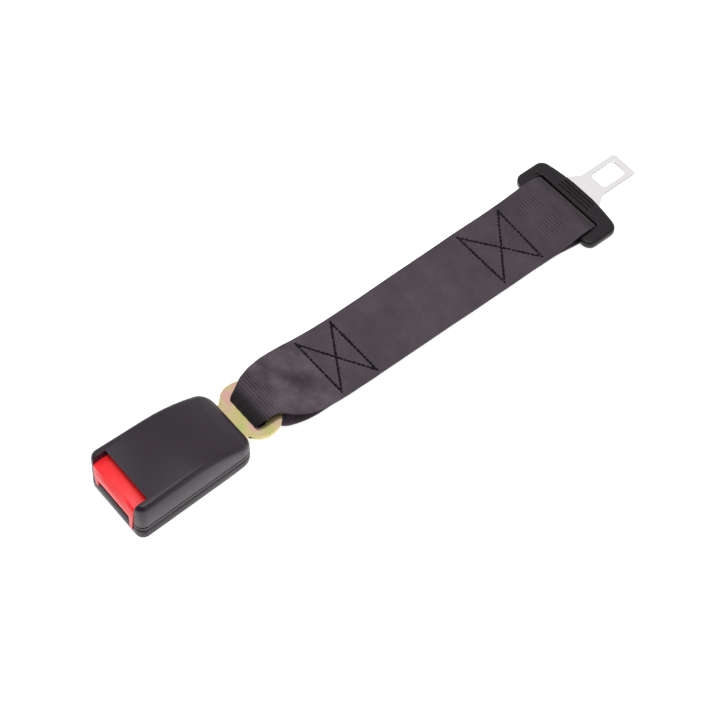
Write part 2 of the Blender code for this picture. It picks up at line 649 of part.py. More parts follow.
def tongue_plate():
    outline = rounded(mirrored([
        (ROOT_REAR, ROOT_HALF, 1.0), (ROOT_FRONT, ROOT_HALF, 1.0), (ROOT_FRONT, SHOULDER_HALF + 2.4, 0.8),
        (SHOULDER, BLADE_HALF, 5.0), (TIP, BLADE_HALF, BLADE_ROUND)]), 6)
    hinge = (SHEATH_REAR + BAR_LENGTH / 2, 0, BAR_Z)
    plate = prism("tongue_plate", outline, BLADE_BASE, BLADE_BASE + BLADE_SHEET, "Z", BRIGHT_STEEL, hinge)
    tip_side = TIP - WINDOW_TIP_BAR
    window = rounded(mirrored([(tip_side - WINDOW_LENGTH, WINDOW_HALF, WINDOW_ROUND),
                               (tip_side, WINDOW_HALF, WINDOW_ROUND)]))
    cut(plate, prism("latch_window", window, BLADE_BASE - 1, BLADE_BASE + BLADE_SHEET + 1))
    rim = plate.modifiers.new("soft_edge", "BEVEL")
    rim.width = 0.4 * MM
    rim.segments = 1
    rim.angle_limit = math.radians(50)
    return plate


def sheath_ring(inset, z):
    """The grip's outline from above: square ends, rounded corners and a bowed front."""
    ends = SHEATH_HALF - inset
    corner = SHEATH_CORNER - inset
    front = SHEATH_FRONT - inset

    def bow(y):
        return front - y * y / (2 * SHEATH_BOW)
    front_points = [(bow(ends * share), ends * share, 0) for share in (0, 0.25, 0.5, 0.7)]
    outline = rounded(front_points + [
        (bow(ends), ends, corner), (SHEATH_REAR + inset, ends, corner), (SHEATH_REAR + inset, 0, 0)])
    return [(x, y, z) for x, y in mirrored([tuple(point) for point in outline[1:-1]])]


def tongue_sheath():
    rings = []
    for step in range(4):
        angle = math.radians(step * 30)
        rings.append(sheath_ring(SHEATH_ROUND * (1 - math.sin(angle)),
                                 SHEATH_BASE + SHEATH_ROUND * (1 - math.cos(angle))))
    for step in range(4):
        angle = math.radians(step * 30)
        rings.append(sheath_ring(SHEATH_ROUND * (1 - math.cos(angle)),
                                 SHEATH_BASE + SHEATH_THICK - SHEATH_ROUND * (1 - math.sin(angle))))
    grip = loft("tongue_sheath", rings, BLACK_GRIP)
    bar_middle = SHEATH_REAR + BAR_LENGTH / 2
    low, high = SHEATH_BASE, SHEATH_BASE + SHEATH_THICK

    # The strap's slot, with a rounded bar behind it
    opening = rounded(mirrored([(SHEATH_REAR - 5, STRAP_SLOT_HALF, 0), (STRAP_SLOT_FRONT, STRAP_SLOT_HALF, 2.0)]))
    cut(grip, prism("strap_opening", opening, low - 2, high + 2))
    round_end = BAR_THICK / 2 - 0.05
    stadium = rounded([
        (SHEATH_REAR, BAR_Z - BAR_THICK / 2, round_end), (SHEATH_REAR + BAR_LENGTH, BAR_Z - BAR_THICK / 2, round_end),
        (SHEATH_REAR + BAR_LENGTH, BAR_Z + BAR_THICK / 2, round_end),
        (SHEATH_REAR, BAR_Z + BAR_THICK / 2, round_end)])
    join(grip, prism("rear_bar", stadium, -STRAP_SLOT_HALF - 2.5, STRAP_SLOT_HALF + 2.5, "Y"))

    # The pocket that the tongue plate sits in
    pocket = rounded(mirrored([
        (ROOT_REAR - SEAT, ROOT_HALF + SEAT, 1.0), (ROOT_FRONT + SEAT, ROOT_HALF + SEAT, 1.0),
        (ROOT_FRONT + SEAT, SHOULDER_HALF + 2.6, 0.8), (SHOULDER + SEAT, BLADE_HALF + SEAT, 5.0),
        (SHEATH_FRONT + 20, BLADE_HALF + SEAT, 0)]), 6)
    cut(grip, prism("plate_pocket", pocket, BLADE_BASE - SEAT, BLADE_BASE + BLADE_SHEET + SEAT))

    # Grip grooves across the front bar
    for number in range(GRIPS):
        x = GRIP_FIRST + number * GRIP_PITCH
        outline = rounded(mirrored([(x - GRIP_WIDTH / 2, GRIP_HALF, GRIP_WIDTH / 2 - 0.05),
                                    (x + GRIP_WIDTH / 2, GRIP_HALF, GRIP_WIDTH / 2 - 0.05)]), 4)
        cut(grip, prism(f"grip_groove_{number}", outline, high - GRIP_DEPTH, high + 2))
    bpy.context.view_layer.update()
    hinge = Vector((bar_middle, 0, BAR_Z)) * MM
    grip.data.transform(Matrix.Translation(-hinge))
    grip.location = hinge
    return grip


# Webbing: stations along the strip's middle line, from one tail to the other, each with x, z, the
# reach to the left and to the right, and how deep the strip is gathered there
STRAP = [
    (-17.0, 0.85, 23.2, 23.2, 0.0), (-30.0, 0.85, 23.2, 23.0, 0.0), (-46.0, 0.85, 23.0, 22.0, 0.0),
    (-56.0, 0.95, 22.6, 19.8, 0.1), (-67.0, 1.3, 21.5, 19.0, 0.15), (-75.0, 2.4, 19.5, 17.8, 0.2),
    (-82.5, 4.6, 16.5, 15.4, 0.3), (-89.0, 7.3, 13.5, 13.4, 0.35), (-92.6, 9.4, 12.0, 12.6, 0.35),
    (-93.8, 11.2, 11.6, 12.2, 0.35), (-92.7, 12.8, 13.0, 12.0, 0.35), (-89.4, 13.4, 17.0, 12.0, 0.35),
    (-84.5, 13.2, 19.6, 12.4, 0.3), (-80.5, 12.2, 20.7, 14.4, 0.25), (-75.0, 10.1, 21.6, 18.6, 0.2),
    (-69.0, 7.7, 22.4, 21.4, 0.15), (-58.0, 4.2, 23.2, 23.6, 0.1), (-46.0, 2.6, 23.6, 23.75, 0.0),
    (-21.0, 2.45, 23.75, 23.75, 0.0), (20.0, 2.45, 23.75, 23.75, 0.0), (72.0, 2.45, 23.75, 23.75, 0.0),
    (98.0, 2.5, 23.75, 23.75, 0.0), (107.0, 3.3, 23.75, 23.75, 0.0), (114.0, 5.5, 23.75, 23.75, 0.0),
    (120.0, 7.9, 23.75, 23.75, 0.0), (125.0, 8.8, 23.75, 23.75, 0.0), (129.0, 8.6, 23.75, 23.75, 0.0),
    (131.6, 7.2, 23.75, 23.75, 0.0), (132.5, 4.9, 23.75, 23.75, 0.0), (131.7, 2.6, 23.75, 23.75, 0.0),
    (129.0, 1.15, 23.75, 23.75, 0.0), (124.0, 0.85, 23.7, 23.7, 0.0), (106.0, 0.85, 23.4, 23.4, 0.0),
    (88.0, 0.85, 23.2, 23.2, 0.0), (68.0, 0.85, 23.2, 23.2, 0.0),
]


def blend(stations, steps):
    """A smooth run through the stations, with some steps between each pair."""
    rows = []
    for here in range(len(stations) - 1):
        first, second = Vector(stations[here]), Vector(stations[here + 1])
        before = Vector(stations[max(here - 1, 0)])
        after = Vector(stations[min(here + 2, len(stations) - 1)])
        span = (second - first).length
        start = (second - before) / max((second - before).length, 0.001) * span
        end = (after - first) / max((after - first).length, 0.001) * span
        for step in range(steps):
            t = step / steps
            rows.append(first * (2 * t ** 3 - 3 * t ** 2 + 1) + start * (t ** 3 - 2 * t ** 2 + t)
                        + second * (3 * t ** 2 - 2 * t ** 3) + end * (t ** 3 - t ** 2))
    rows.append(Vector(stations[-1]))
    return rows


def webbing():
    """One strip folded round both bars, gathered where it passes the anchor plate's slot."""
    rows = blend(STRAP, 2)
    across = 12
    bm = bmesh.new()
    top, under = [], []
    for here, (x, z, left, right, gather) in enumerate(rows):
        before, after = rows[max(here - 1, 0)], rows[min(here + 1, len(rows) - 1)]
        along = Vector((after[0] - before[0], 0, after[1] - before[1])).normalized()
        normal = Vector((-along.z, 0, along.x))
        # The strip starts towards -X, so its normal points inwards there and outwards on the way back.
        upper_row, under_row = [], []
        for place in range(across + 1):
            y = left - (left + right) * place / across
            wave = gather * math.cos(2 * math.pi * y / GATHER_PITCH)
            middle = Vector((x, y, z)) + normal * wave
            edge = 0.35 if place in (0, across) else 0.5
            upper_row.append(bm.verts.new(middle + normal * STRAP_THICK * edge))
            under_row.append(bm.verts.new(middle - normal * STRAP_THICK * edge))
        top.append(upper_row)
        under.append(under_row)
    for here in range(len(rows) - 1):
        for place in range(across):
            for sheet in (top, under):
                bm.faces.new((sheet[here][place], sheet[here][place + 1],
                              sheet[here + 1][place + 1], sheet[here + 1][place]))
        for place in (0, across):
            bm.faces.new((top[here][place], top[here + 1][place], under[here + 1][place], under[here][place]))
    for here in (0, len(rows) - 1):
        for place in range(across):
            bm.faces.new((top[here][place], top[here][place + 1], under[here][place + 1], under[here][place]))
    axis = (SLOT_REAR + 0.8, 0, CHANNEL + SEAT + PLATE / 2)
    return make("webbing", bm, BLACK_WEBBING, axis)


def latch_pin():
    return rod("latch_pin", -FRAME_HALF - 0.8, FRAME_HALF + 0.8, (PIVOT_X, PIVOT_Z), PIN_RADIUS, "Y", BRIGHT_STEEL,
               (PIVOT_X, 0, PIVOT_Z))


def springs():
    coil("ejector_spring", (EJECTOR_REAR + RUN, 0, CHANNEL + 0.8), (PLATE_FRONT - RUN, 0, CHANNEL + 0.8),
         EJECTOR_COIL, 9)
    for side, sign in SIDES.items():
        coil(f"button_spring_{side}", (BUTTON_REAR + RUN, sign * BUTTON_COIL_Y, BUTTON_COIL_Z),
             (BUTTON_COIL_SEAT - RUN, sign * BUTTON_COIL_Y, BUTTON_COIL_Z), BUTTON_COIL, 6)
    latch_top = PIVOT_Z - PIN_RADIUS - BARREL_WALL + LATCH_SHEET
    coil("latch_spring", (LATCH_COIL_X, 0, latch_top + RUN), (LATCH_COIL_X, 0, roof(LATCH_COIL_X) - WALL - RUN),
         LATCH_COIL, 6)


lower_cover()
upper_cover()
latch_frame()
anchor_plate()
rivets()
press_button()
latch_plate()
latch_pin()
ejector()
springs()
screws()
webbing()
tongue_plate()
tongue_sheath()
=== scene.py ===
import math

import bmesh
import bpy
from mathutils import Matrix, Vector, noise


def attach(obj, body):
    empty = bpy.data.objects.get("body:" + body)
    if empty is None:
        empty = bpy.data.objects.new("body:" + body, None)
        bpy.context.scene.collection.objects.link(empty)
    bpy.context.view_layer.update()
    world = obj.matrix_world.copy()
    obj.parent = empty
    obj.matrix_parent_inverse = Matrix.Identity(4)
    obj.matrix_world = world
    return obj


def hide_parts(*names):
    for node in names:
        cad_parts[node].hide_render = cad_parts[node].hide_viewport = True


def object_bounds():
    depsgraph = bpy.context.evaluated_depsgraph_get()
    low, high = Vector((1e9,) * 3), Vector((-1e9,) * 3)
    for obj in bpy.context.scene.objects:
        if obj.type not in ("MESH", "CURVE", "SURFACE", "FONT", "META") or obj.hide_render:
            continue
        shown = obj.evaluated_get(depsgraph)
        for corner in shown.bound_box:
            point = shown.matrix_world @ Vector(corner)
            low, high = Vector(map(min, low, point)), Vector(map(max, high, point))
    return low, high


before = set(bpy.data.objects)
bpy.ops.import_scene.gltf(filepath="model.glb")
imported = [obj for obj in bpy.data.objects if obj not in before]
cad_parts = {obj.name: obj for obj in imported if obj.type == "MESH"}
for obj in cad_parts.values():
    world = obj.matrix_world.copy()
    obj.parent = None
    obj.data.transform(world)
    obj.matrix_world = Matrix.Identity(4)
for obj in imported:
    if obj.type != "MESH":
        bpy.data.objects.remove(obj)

solid_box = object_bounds()

# Studio: a white floor that runs out of sight, a wide soft lamp above, a low strip that lights the
# near edges, and a long lens looking down along the strap from the buckle's end.
MM = 0.001
WHITE = (1.0, 1.0, 1.0, 1.0)

scene = bpy.context.scene
scene.view_settings.view_transform = "Standard"


class Socket:
    """A shader socket that can be used in sums, and that new nodes are linked to."""

    def __init__(self, tree, output):
        self.tree = tree
        self.output = output

    def add(self, kind, settings=None, values=None, out=0):
        """A new node of a kind, with its settings, then its sockets' values or links."""
        node = self.tree.nodes.new(kind)
        for name, setting in (settings or {}).items():
            if name == "stops":
                node.color_ramp.elements.remove(node.color_ramp.elements[1])
                node.color_ramp.elements[0].position = setting[0][0]
                node.color_ramp.elements[0].color = (*setting[0][1], 1.0)
                for place, colour in setting[1:]:
                    node.color_ramp.elements.new(place).color = (*colour, 1.0)
            else:
                setattr(node, name, setting)
        for name, value in (values or {}).items():
            if isinstance(value, Socket):
                self.tree.links.new(value.output, node.inputs[name])
            else:
                node.inputs[name].default_value = value
        return Socket(self.tree, node.outputs[out])

    def maths(self, operation, first, second):
        return self.add("ShaderNodeMath", {"operation": operation}, {0: first, 1: second})

    def __add__(self, other):
        return self.maths("ADD", self, other)

    def __radd__(self, other):
        return self.maths("ADD", other, self)

    def __sub__(self, other):
        return self.maths("SUBTRACT", self, other)

    def __rsub__(self, other):
        return self.maths("SUBTRACT", other, self)

    def __mul__(self, other):
        return self.maths("MULTIPLY", self, other)

    def __rmul__(self, other):
        return self.maths("MULTIPLY", other, self)

    def sine(self):
        return self.maths("SINE", self, 0.0)

    def noise(self, scale, detail=2.0, roughness=0.5):
        """Fractal noise from 0 to 1; the scale is in cells for each metre."""
        return self.add("ShaderNodeTexNoise", {}, {"Vector": self, "Scale": scale, "Detail": detail,
                                                   "Roughness": roughness})

    def stretched(self, x, y, z):
        return self.add("ShaderNodeMapping", {}, {"Vector": self, "Scale": (x, y, z)})

    def mixed(self, first, second):
        """Blend two colours, with this socket as the share of the second."""
        return self.add("ShaderNodeMix", {"data_type": "RGBA"}, {0: self, 6: first, 7: second}, 2)


class Finish:
    """A Principled material, with the surface's object coordinates and UV map at hand."""

    def __init__(self, name, colour, roughness, metallic=0.0, specular=0.5):
        self.material = bpy.data.materials.new(name)
        self.material.use_nodes = True
        self.tree = self.material.node_tree
        self.shader = self.tree.nodes["Principled BSDF"]
        self.shader.inputs["Base Color"].default_value = (*colour, 1.0)
        self.shader.inputs["Roughness"].default_value = roughness
        self.shader.inputs["Metallic"].default_value = metallic
        self.shader.inputs["Specular IOR Level"].default_value = specular
        coordinates = self.tree.nodes.new("ShaderNodeTexCoord")
        self.place = Socket(self.tree, coordinates.outputs["Object"])
        self.flat = Socket(self.tree, coordinates.outputs["UV"])

    def drive(self, name, socket):
        self.tree.links.new(socket.output, self.shader.inputs[name])

    def bump(self, height, distance):
        """Raise the surface by a height from 0 to 1 times a distance in metres."""
        self.drive("Normal", height.add("ShaderNodeBump", {}, {
            "Distance": distance, "Height": height}))


FLOOR_TONE = 0.8
FLOOR_GLOW = 0.7            # what makes the floor white to the camera and in reflections
FLOOR_HALF = 6.0            # metres
FLOOR_DROP = 0.0004
SKY = 0.74
FAR_WAY = (0.632, 0.775, 0.25)
ROOM_EDGES = (-0.35, 0.45)  # where the dark side ends and the pale one begins, along that way
DARK_SIDE = 0.10
FAR_SIDE = 0.95

floor_mesh = bmesh.new()
bmesh.ops.create_grid(floor_mesh, x_segments=1, y_segments=1, size=FLOOR_HALF)
floor_data = bpy.data.meshes.new("floor")
floor_mesh.to_mesh(floor_data)
floor_mesh.free()
floor = bpy.data.objects.new("floor", floor_data)
floor.location.z = solid_box[0][2] - FLOOR_DROP
scene.collection.objects.link(floor)

paper = Finish("white_paper", (FLOOR_TONE,) * 3, 1.0, specular=0.0)
rays = paper.tree.nodes.new("ShaderNodeLightPath")
seen = Socket(paper.tree, rays.outputs["Is Camera Ray"])
seen = seen.maths("MAXIMUM", seen, Socket(paper.tree, rays.outputs["Is Glossy Ray"]))
seen = seen.maths("MAXIMUM", seen, Socket(paper.tree, rays.outputs["Is Transmission Ray"]))
paper.drive("Emission Strength", seen * FLOOR_GLOW)
paper.shader.inputs["Emission Color"].default_value = WHITE
floor_data.materials.append(paper.material)

world = bpy.data.worlds.new("studio")
scene.world = world
world.use_nodes = True
background = world.node_tree.nodes["Background"]
sky_rays = world.node_tree.nodes.new("ShaderNodeLightPath")
ways = world.node_tree.nodes.new("ShaderNodeTexCoord")
toward = Socket(world.node_tree, ways.outputs["Generated"])
seen_sky = Socket(world.node_tree, sky_rays.outputs["Is Camera Ray"])
mirrored_sky = Socket(world.node_tree, sky_rays.outputs["Is Glossy Ray"])
# What shines sees a pale room on the far side and a dark one behind the camera.
far = toward.add("ShaderNodeVectorMath", {"operation": "DOT_PRODUCT"},
                 {0: toward, 1: FAR_WAY}, 1)
room = far.add("ShaderNodeMapRange", {"interpolation_type": "SMOOTHSTEP"},
               {0: far, 1: ROOM_EDGES[0], 2: ROOM_EDGES[1], 3: DARK_SIDE, 4: FAR_SIDE})
plain = seen_sky * (1.0 - SKY) + SKY
strength = mirrored_sky.add("ShaderNodeMix", {}, {0: mirrored_sky, 2: plain, 3: room})
world.node_tree.links.new(strength.output, background.inputs["Strength"])
background.inputs["Color"].default_value = WHITE


def soft_lamp(name, spot, aim, width, height, power):
    """A rectangular lamp at a spot in metres, turned to a point, with its power in watts."""
    lamp_data = bpy.data.lights.new(name, "AREA")
    lamp_data.shape = "RECTANGLE"
    lamp_data.size = width
    lamp_data.size_y = height
    lamp_data.energy = power
    lamp = bpy.data.objects.new(name, lamp_data)
    lamp.location = spot
    lamp.rotation_euler = (Vector(aim) - Vector(spot)).to_track_quat("-Z", "Y").to_euler()
    scene.collection.objects.link(lamp)


soft_lamp("overhead_box", (-0.04, -0.02, 1.1), (0, 0, 0), 0.6, 0.5, 5.0)
soft_lamp("near_strip", (0.21, -0.83, 0.45), (-0.14, 0, 0.02), 0.6, 0.15, 1.8)

VIEW_HEADING = math.radians(39.18)
VIEW_RISE = math.radians(56.06)
VIEW_DISTANCE = 1.105
VIEW_AIM = Vector((-0.0231, -0.0067, 0.0))

camera_data = bpy.data.cameras.new("camera")
camera_data.sensor_width = 36.0
camera_data.lens = 100.0
camera_data.clip_start = 0.01
camera = bpy.data.objects.new("camera", camera_data)
back = Vector((-math.cos(VIEW_RISE) * math.sin(VIEW_HEADING),
               -math.cos(VIEW_RISE) * math.cos(VIEW_HEADING), math.sin(VIEW_RISE)))
camera.location = VIEW_AIM + back * VIEW_DISTANCE
camera.rotation_euler = (math.radians(90) - VIEW_RISE, 0, -VIEW_HEADING)
scene.collection.objects.link(camera)
scene.camera = camera

# Buckle housing: two black shells, moulded with a fine spark-eroded grain and held together by two
# screws. Their meeting edges are softened, and a shallow line runs round the lower one.
shell = Finish("moulded_shell", (0.012, 0.005, 0.012), 0.36, specular=0.33)
grain = shell.place.noise(1500, 3)
cloudy = shell.place.noise(45, 2)
shell.drive("Base Color", cloudy.mixed((0.011, 0.0045, 0.0115, 1), (0.017, 0.0095, 0.0175, 1)))
shell.drive("Roughness", 0.30 + grain * 0.12 + cloudy * 0.04)
shell.bump(grain, 0.00003)


def dress(node, finish, edge=0.25, segments=2, limit=32):
    """Give a piece its finish, welded and with its sharp edges softened."""
    node.data.materials.clear()
    node.data.materials.append(finish.material)
    for face in node.data.polygons:
        face.use_smooth = True
    weld = node.modifiers.new("weld", "WELD")
    weld.merge_threshold = 0.000002
    flats = node.modifiers.new("flats", "DECIMATE")
    flats.decimate_type = "DISSOLVE"
    flats.angle_limit = math.radians(0.6)
    soften = node.modifiers.new("soften", "BEVEL")
    soften.width = edge * MM
    soften.segments = segments
    soften.angle_limit = math.radians(limit)
    soften.harden_normals = True


dress(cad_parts["upper_cover"], shell, 0.3)
dress(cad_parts["lower_cover"], shell, 0.3)

# Button: one bright red moulding with a smooth face, which slides in the housing's mouth. Its top
# lies well under the housing's, and the middle of its top front edge is dished for the thumb.
BUTTON_TOP = 23.4           # millimetres, as all sizes from here on
BUTTON_DROP = 2.8           # from the plain solid's top to this one's
BUTTON_NOSE = -182.4        # front of the top edge
BUTTON_FRONT = -179.5       # what lies before this is the plain solid's front face
BUTTON_REACH_LOW = 1.9      # how far the front face stands before the plain solid's, at its foot
BUTTON_REACH_TOP = 0.7
SCOOP_HALF = 15.0
SCOOP_BACK = 2.4
SCOOP_LIFT = 25.8


def recast(name):
    """A merged copy of a solid in millimetres, for a form that the solid leaves plainer."""
    copy = bmesh.new()
    copy.from_mesh(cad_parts[name].data)
    bmesh.ops.scale(copy, vec=(1 / MM,) * 3, verts=copy.verts)
    bmesh.ops.remove_doubles(copy, verts=copy.verts, dist=0.002)
    return copy


def stand_in(name, shape, body, node):
    """Make a piece of a shape in millimetres, in the place of a solid."""
    bmesh.ops.scale(shape, vec=(MM,) * 3, verts=shape.verts)
    data = bpy.data.meshes.new(name)
    shape.to_mesh(data)
    shape.free()
    piece = bpy.data.objects.new(name, data)
    scene.collection.objects.link(piece)
    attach(piece, body)
    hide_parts(node)
    return piece


def carve(piece, tool):
    """Cut a tool's shape, given in millimetres, out of a piece."""
    bmesh.ops.scale(tool, vec=(MM,) * 3, verts=tool.verts)
    tool_data = bpy.data.meshes.new("tool")
    tool.to_mesh(tool_data)
    tool.free()
    cutter = bpy.data.objects.new("tool", tool_data)
    scene.collection.objects.link(cutter)
    carving = piece.modifiers.new("carving", "BOOLEAN")
    carving.operation = "DIFFERENCE"
    carving.solver = "EXACT"
    carving.object = cutter
    bpy.context.view_layer.update()
    carved = piece.evaluated_get(bpy.context.evaluated_depsgraph_get())
    piece.data = bpy.data.meshes.new_from_object(carved)
    piece.modifiers.clear()
    bpy.data.objects.remove(cutter)


moulding = recast("press_button")
for vert in moulding.verts:
    if vert.co.z > BUTTON_TOP:
        vert.co.z -= BUTTON_DROP
    if vert.co.x < BUTTON_FRONT:
        rise = vert.co.z / BUTTON_TOP
        vert.co.x -= BUTTON_REACH_LOW + (BUTTON_REACH_TOP - BUTTON_REACH_LOW) * rise
button = stand_in("button_moulding", moulding, "button", "press_button")
scoop_reach = (SCOOP_HALF ** 2 + SCOOP_BACK ** 2) / (2 * SCOOP_BACK)
thumb_ball = bmesh.new()
bmesh.ops.create_uvsphere(thumb_ball, u_segments=96, v_segments=64,
                          radius=math.hypot(scoop_reach, SCOOP_LIFT))
bmesh.ops.translate(thumb_ball, verts=thumb_ball.verts, vec=(
    BUTTON_NOSE + SCOOP_BACK - scoop_reach, 0, BUTTON_TOP + SCOOP_LIFT))
carve(button, thumb_ball)

red = Finish("red_moulding", (0.95, 0.022, 0.028), 0.33, specular=0.34)
fine = red.place.noise(900, 2)
red.drive("Roughness", 0.28 + fine * 0.10)
red.bump(fine, 0.000015)
dress(button, red, 0.5, 3)

# Anchor plate: pressed steel with a yellow zinc passivation, which drifts from straw to pink and
# green. Its two lobes are round, its slot is no wider than the gathered strap, and two rivets hold
# it to the channel inside the buckle.
zinc = Finish("yellow_zinc", (0.62, 0.52, 0.24), 0.30, 0.85)
drift = zinc.place.stretched(1.0, 0.6, 1.0).noise(105, 2, 0.55)
tint = drift.add("ShaderNodeValToRGB", {"stops": [
    (0.34, (0.44, 0.52, 0.17)), (0.46, (0.58, 0.50, 0.22)), (0.55, (0.60, 0.49, 0.27)),
    (0.63, (0.68, 0.40, 0.34))]}, {"Fac": drift})
zinc.drive("Base Color", tint)
rolled = zinc.place.stretched(0.15, 1.0, 1.0).noise(2600, 2)
zinc.drive("Roughness", 0.15 + rolled * 0.13)
zinc.bump(rolled, 0.000012)

# Half of each outline, as corners (x, y) with their radius
PLATE_OUTLINE = ((-120.0, 10.2, 1.5), (-109.7, 10.2, 0), (-109.7, 12.75, 0), (-105.4, 12.75, 3.0),
                 (-98.9, 19.7, 9.0), (-81.0, 19.7, 12.0))
SLOT_OUTLINE = ((-98.7, 12.9, 3.2), (-91.5, 12.9, 3.2))
PLATE_LOW, PLATE_HIGH = 9.3, 11.6
RIVET_SPOT = (-114.5, 6.0)
RIVET_HOLE = 1.7
CUT_PAST = 1.0              # how far the slot's tool stands out on both sides
DRILL_DEPTH = 6.0


def flat_blank(half, low, high):
    """A flat piece with rounded corners, from the corners of its left half."""
    blank = bmesh.new()
    corners = [(x, y, radius) for x, y, radius in half]
    corners += [(x, -y, radius) for x, y, radius in reversed(half)]
    verts = [blank.verts.new((x, y, low)) for x, y, radius in corners]
    blank.faces.new(verts)
    spots = [Vector((x, y)) for x, y, radius in corners]
    for number, (vert, (x, y, radius)) in enumerate(zip(verts, corners)):
        into = spots[number] - spots[number - 1]
        out = spots[(number + 1) % len(spots)] - spots[number]
        if radius:
            bmesh.ops.bevel(blank, geom=[vert], offset=radius * math.tan(into.angle(out) / 2),
                            segments=10, profile=0.5, affect="VERTICES", material=-1)
    raised = bmesh.ops.extrude_face_region(blank, geom=blank.faces[:])["geom"]
    bmesh.ops.translate(blank, vec=(0, 0, high - low),
                        verts=[part for part in raised if isinstance(part, bmesh.types.BMVert)])
    bmesh.ops.recalc_face_normals(blank, faces=blank.faces)
    return blank


anchor = stand_in("slotted_anchor", flat_blank(PLATE_OUTLINE, PLATE_LOW, PLATE_HIGH), "buckle",
                  "anchor_plate")
carve(anchor, flat_blank(SLOT_OUTLINE, PLATE_LOW - CUT_PAST, PLATE_HIGH + CUT_PAST))
for side in (1, -1):
    drill = bmesh.new()
    bmesh.ops.create_cone(drill, cap_ends=True, segments=32, radius1=RIVET_HOLE,
                          radius2=RIVET_HOLE, depth=DRILL_DEPTH)
    bmesh.ops.translate(drill, verts=drill.verts, vec=(
        RIVET_SPOT[0], side * RIVET_SPOT[1], (PLATE_LOW + PLATE_HIGH) / 2))
    carve(anchor, drill)
dress(anchor, zinc, 0.3)
for side in ("left", "right"):
    dress(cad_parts[f"anchor_rivet_{side}"], zinc, 0.15)

# Tongue: a steel blade, blanked, bright plated and lightly brushed, with soft shoulders and a window
# for the car's latch. Its root is moulded into the grip.
bright = Finish("bright_plate", (0.80, 0.78, 0.78), 0.26, 0.9)
brushed = bright.place.stretched(0.12, 1.0, 1.0).noise(2400, 2)
blush = bright.place.noise(60, 1)
bright.drive("Base Color", blush.mixed((0.80, 0.76, 0.76, 1), (0.84, 0.84, 0.84, 1)))
bright.drive("Roughness", 0.25 + brushed * 0.06)
bright.bump(brushed, 0.000003)
dress(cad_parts["tongue_plate"], bright, 0.12)

# Tongue grip: a satin black moulding round the tongue's root and the slot that the strap turns in,
# with four finger grooves and a small round pip at its far end.
grip = Finish("grip_moulding", (0.012, 0.007, 0.012), 0.38, specular=0.26)
grip_grain = grip.place.noise(1300, 3)
grip_cloud = grip.place.noise(50, 2)
grip.drive("Base Color", grip_cloud.mixed((0.006, 0.0030, 0.0056, 1), (0.009, 0.0056, 0.0088, 1)))
grip.drive("Roughness", 0.32 + grip_grain * 0.12)
grip.bump(grip_grain, 0.00003)

# The real grip is slimmer than the plain solid. Each pair is a place along the plain solid and where
# it lies on the real one. The heights shrink towards the base.
GRIP_PLACES = ((123.3, 124.4), (131.0, 131.4), (137.0, 138.95), (149.4, 150.4))
GRIP_SLACK = 0.1            # how far a corner may lie past its stretch
GRIP_BASE_PLAIN, GRIP_BASE = 0.3, 1.4
GRIP_SLIMMER = 0.7
PIP_RADIUS = 1.2
PIP_SPOT = (137.9, 26.8, 6.8)

slim = recast("tongue_sheath")
for vert in slim.verts:
    for (low, new_low), (high, new_high) in zip(GRIP_PLACES, GRIP_PLACES[1:]):
        if low - GRIP_SLACK <= vert.co.x <= high + GRIP_SLACK:
            vert.co.x = new_low + (vert.co.x - low) * (new_high - new_low) / (high - low)
            break
    vert.co.z = GRIP_BASE + (vert.co.z - GRIP_BASE_PLAIN) * GRIP_SLIMMER
pip = bmesh.ops.create_uvsphere(slim, u_segments=20, v_segments=12, radius=PIP_RADIUS)["verts"]
bmesh.ops.translate(slim, verts=pip, vec=PIP_SPOT)
holder = stand_in("finger_grip", slim, "tongue", "tongue_sheath")
dress(holder, grip, 0.25)

# Inside the buckle: a stamped steel channel and the latch on its pin, an off-white moulded slider
# that pushes the tongue out, four springs of drawn wire, and the two screws of the housing.
steel = Finish("plain_steel", (0.42, 0.43, 0.44), 0.36, 0.9)
steel_grain = steel.place.noise(700, 3)
steel.drive("Roughness", 0.30 + steel_grain * 0.16)
wire = Finish("spring_wire", (0.50, 0.50, 0.52), 0.28, 0.9)
wire_grain = wire.place.noise(2000, 2)
wire.drive("Roughness", 0.22 + wire_grain * 0.14)
slider = Finish("slider_moulding", (0.70, 0.70, 0.66), 0.42)
slider_grain = slider.place.noise(900, 2)
slider.drive("Roughness", 0.36 + slider_grain * 0.12)
for name in ("latch_frame", "latch_plate", "cover_screw_left", "cover_screw_right"):
    dress(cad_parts[name], steel, 0.12)
for name in ("ejector_spring", "button_spring_left", "button_spring_right", "latch_spring"):
    dress(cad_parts[name], wire, 0.02, 1, 80)
dress(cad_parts["latch_pin"], bright, 0.1)
dress(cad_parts["ejector"], slider, 0.2)

# Webbing: one strip of black polyester belt, folded back on itself at both ends. It is gathered
# where it goes through the anchor plate's slot, lies flat round the tongue's bar, and is held just
# off the table between them.
STRAP_THICK = 1.3 * MM
STRAP_WIDE = 48.0 * MM
GATHER_PITCH = 5.2 * MM
